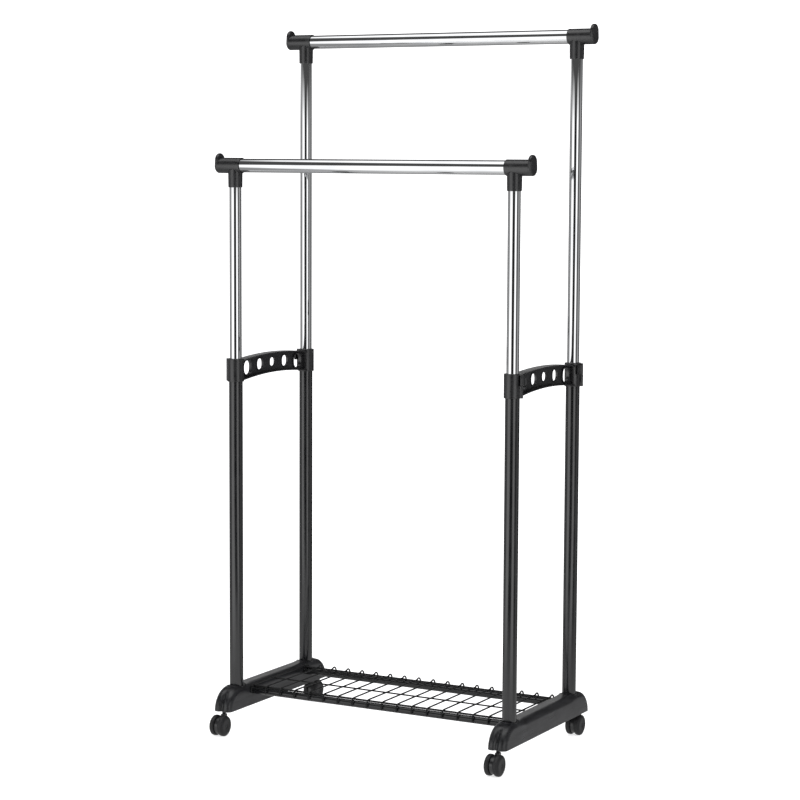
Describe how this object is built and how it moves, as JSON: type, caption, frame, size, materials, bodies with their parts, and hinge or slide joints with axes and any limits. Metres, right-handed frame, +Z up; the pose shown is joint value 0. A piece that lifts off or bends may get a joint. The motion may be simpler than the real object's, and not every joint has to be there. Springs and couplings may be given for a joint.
{
  "type": "rolling clothes rack",
  "caption": "Rolling clothes rack with two hanging rods at different heights on telescoping frames, a low wire shelf, arched side brackets and twin-wheel swivel casters.",
  "frame": {"origin": "on the floor, under the centre of the bounding box", "axes": "+X along the hanging rods towards the rack's right, -Y towards the lower rod's side, +Z up"},
  "size_m": [0.641, 0.3775, 1.3032],
  "materials": {
    "black_plastic": "moulded near-black polypropylene, satin with a fine grain",
    "black_steel": "black powder coat, satin",
    "chrome": "bright chrome plate, mirror finish",
    "zinc_steel": "zinc plated steel",
    "wheel_nylon": "black nylon, satin"
  },
  "bodies": {
    "base": {"left_foot": "black_plastic", "left_side_bracket": "black_plastic", "right_foot": "black_plastic", "right_side_bracket": "black_plastic", "shelf_front_tube": "black_steel", "shelf_rear_tube": "black_steel", "shelf_wire_grid": "black_steel", "front_left_lower_post": "black_steel", "front_left_post_screw": "zinc_steel", "front_right_lower_post": "black_steel", "front_right_post_screw": "zinc_steel", "rear_left_lower_post": "black_steel", "rear_left_post_screw": "zinc_steel", "rear_right_lower_post": "black_steel", "rear_right_post_screw": "zinc_steel"},
    "front_frame": {"front_rod": "chrome", "front_left_upper_post": "chrome", "front_left_guide_plug": "black_plastic", "front_left_rod_tee": "black_plastic", "front_right_upper_post": "chrome", "front_right_guide_plug": "black_plastic", "front_right_rod_tee": "black_plastic"},
    "rear_frame": {"rear_rod": "chrome", "rear_left_upper_post": "chrome", "rear_left_guide_plug": "black_plastic", "rear_left_rod_tee": "black_plastic", "rear_right_upper_post": "chrome", "rear_right_guide_plug": "black_plastic", "rear_right_rod_tee": "black_plastic"},
    "front_left_lever": {"front_left_clamp_lever": "black_plastic"},
    "front_left_caster": {"front_left_caster_stem": "zinc_steel", "front_left_caster_hood": "black_plastic", "front_left_caster_axle": "zinc_steel"},
    "front_left_left_wheel": {"front_left_caster_left_wheel": "wheel_nylon"},
    "front_left_right_wheel": {"front_left_caster_right_wheel": "wheel_nylon"},
    "front_right_lever": {"front_right_clamp_lever": "black_plastic"},
    "front_right_caster": {"front_right_caster_stem": "zinc_steel", "front_right_caster_hood": "black_plastic", "front_right_caster_axle": "zinc_steel"},
    "front_right_left_wheel": {"front_right_caster_left_wheel": "wheel_nylon"},
    "front_right_right_wheel": {"front_right_caster_right_wheel": "wheel_nylon"},
    "rear_left_lever": {"rear_left_clamp_lever": "black_plastic"},
    "rear_left_caster": {"rear_left_caster_stem": "zinc_steel", "rear_left_caster_hood": "black_plastic", "rear_left_caster_axle": "zinc_steel"},
    "rear_left_left_wheel": {"rear_left_caster_left_wheel": "wheel_nylon"},
    "rear_left_right_wheel": {"rear_left_caster_right_wheel": "wheel_nylon"},
    "rear_right_lever": {"rear_right_clamp_lever": "black_plastic"},
    "rear_right_caster": {"rear_right_caster_stem": "zinc_steel", "rear_right_caster_hood": "black_plastic", "rear_right_caster_axle": "zinc_steel"},
    "rear_right_left_wheel": {"rear_right_caster_left_wheel": "wheel_nylon"},
    "rear_right_right_wheel": {"rear_right_caster_right_wheel": "wheel_nylon"}
  },
  "joints": [
    {"name": "front_frame_height", "type": "slide", "parent": "base", "child": "front_frame", "axis": [0, 0, 1], "range_m": [-0.31, 0.23]},
    {"name": "rear_frame_height", "type": "slide", "parent": "base", "child": "rear_frame", "axis": [0, 0, 1], "range_m": [-0.54, 0]},
    {"name": "front_left_lever_swing", "type": "hinge", "parent": "base", "child": "front_left_lever", "pos_m": [-0.3, -0.114, 0.6835], "axis": [0, 0, 1], "range_deg": [0, 85]},
    {"name": "front_left_swivel", "type": "hinge", "parent": "base", "child": "front_left_caster", "pos_m": [-0.283, -0.157, 0.045], "axis": [0, 0, 1], "continuous": true},
    {"name": "front_left_left_wheel_spin", "type": "hinge", "parent": "front_left_caster", "child": "front_left_left_wheel", "pos_m": [-0.283, -0.17, 0.019], "axis": [1, 0, 0], "continuous": true},
    {"name": "front_left_right_wheel_spin", "type": "hinge", "parent": "front_left_caster", "child": "front_left_right_wheel", "pos_m": [-0.283, -0.17, 0.019], "axis": [1, 0, 0], "continuous": true},
    {"name": "front_right_lever_swing", "type": "hinge", "parent": "base", "child": "front_right_lever", "pos_m": [0.3, -0.114, 0.6835], "axis": [0, 0, -1], "range_deg": [0, 85]},
    {"name": "front_right_swivel", "type": "hinge", "parent": "base", "child": "front_right_caster", "pos_m": [0.283, -0.157, 0.045], "axis": [0, 0, 1], "continuous": true},
    {"name": "front_right_left_wheel_spin", "type": "hinge", "parent": "front_right_caster", "child": "front_right_left_wheel", "pos_m": [0.283, -0.17, 0.019], "axis": [1, 0, 0], "continuous": true},
    {"name": "front_right_right_wheel_spin", "type": "hinge", "parent": "front_right_caster", "child": "front_right_right_wheel", "pos_m": [0.283, -0.17, 0.019], "axis": [1, 0, 0], "continuous": true},
    {"name": "rear_left_lever_swing", "type": "hinge", "parent": "base", "child": "rear_left_lever", "pos_m": [-0.3, 0.135, 0.6835], "axis": [0, 0, -1], "range_deg": [0, 85]},
    {"name": "rear_left_swivel", "type": "hinge", "parent": "base", "child": "rear_left_caster", "pos_m": [-0.283, 0.178, 0.045], "axis": [0, 0, 1], "continuous": true},
    {"name": "rear_left_left_wheel_spin", "type": "hinge", "parent": "rear_left_caster", "child": "rear_left_left_wheel", "pos_m": [-0.283, 0.165, 0.019], "axis": [1, 0, 0], "continuous": true},
    {"name": "rear_left_right_wheel_spin", "type": "hinge", "parent": "rear_left_caster", "child": "rear_left_right_wheel", "pos_m": [-0.283, 0.165, 0.019], "axis": [1, 0, 0], "continuous": true},
    {"name": "rear_right_lever_swing", "type": "hinge", "parent": "base", "child": "rear_right_lever", "pos_m": [0.3, 0.135, 0.6835], "axis": [0, 0, 1], "range_deg": [0, 85]},
    {"name": "rear_right_swivel", "type": "hinge", "parent": "base", "child": "rear_right_caster", "pos_m": [0.283, 0.178, 0.045], "axis": [0, 0, 1], "continuous": true},
    {"name": "rear_right_left_wheel_spin", "type": "hinge", "parent": "rear_right_caster", "child": "rear_right_left_wheel", "pos_m": [0.283, 0.165, 0.019], "axis": [1, 0, 0], "continuous": true},
    {"name": "rear_right_right_wheel_spin", "type": "hinge", "parent": "rear_right_caster", "child": "rear_right_right_wheel", "pos_m": [0.283, 0.165, 0.019], "axis": [1, 0, 0], "continuous": true}
  ]
}
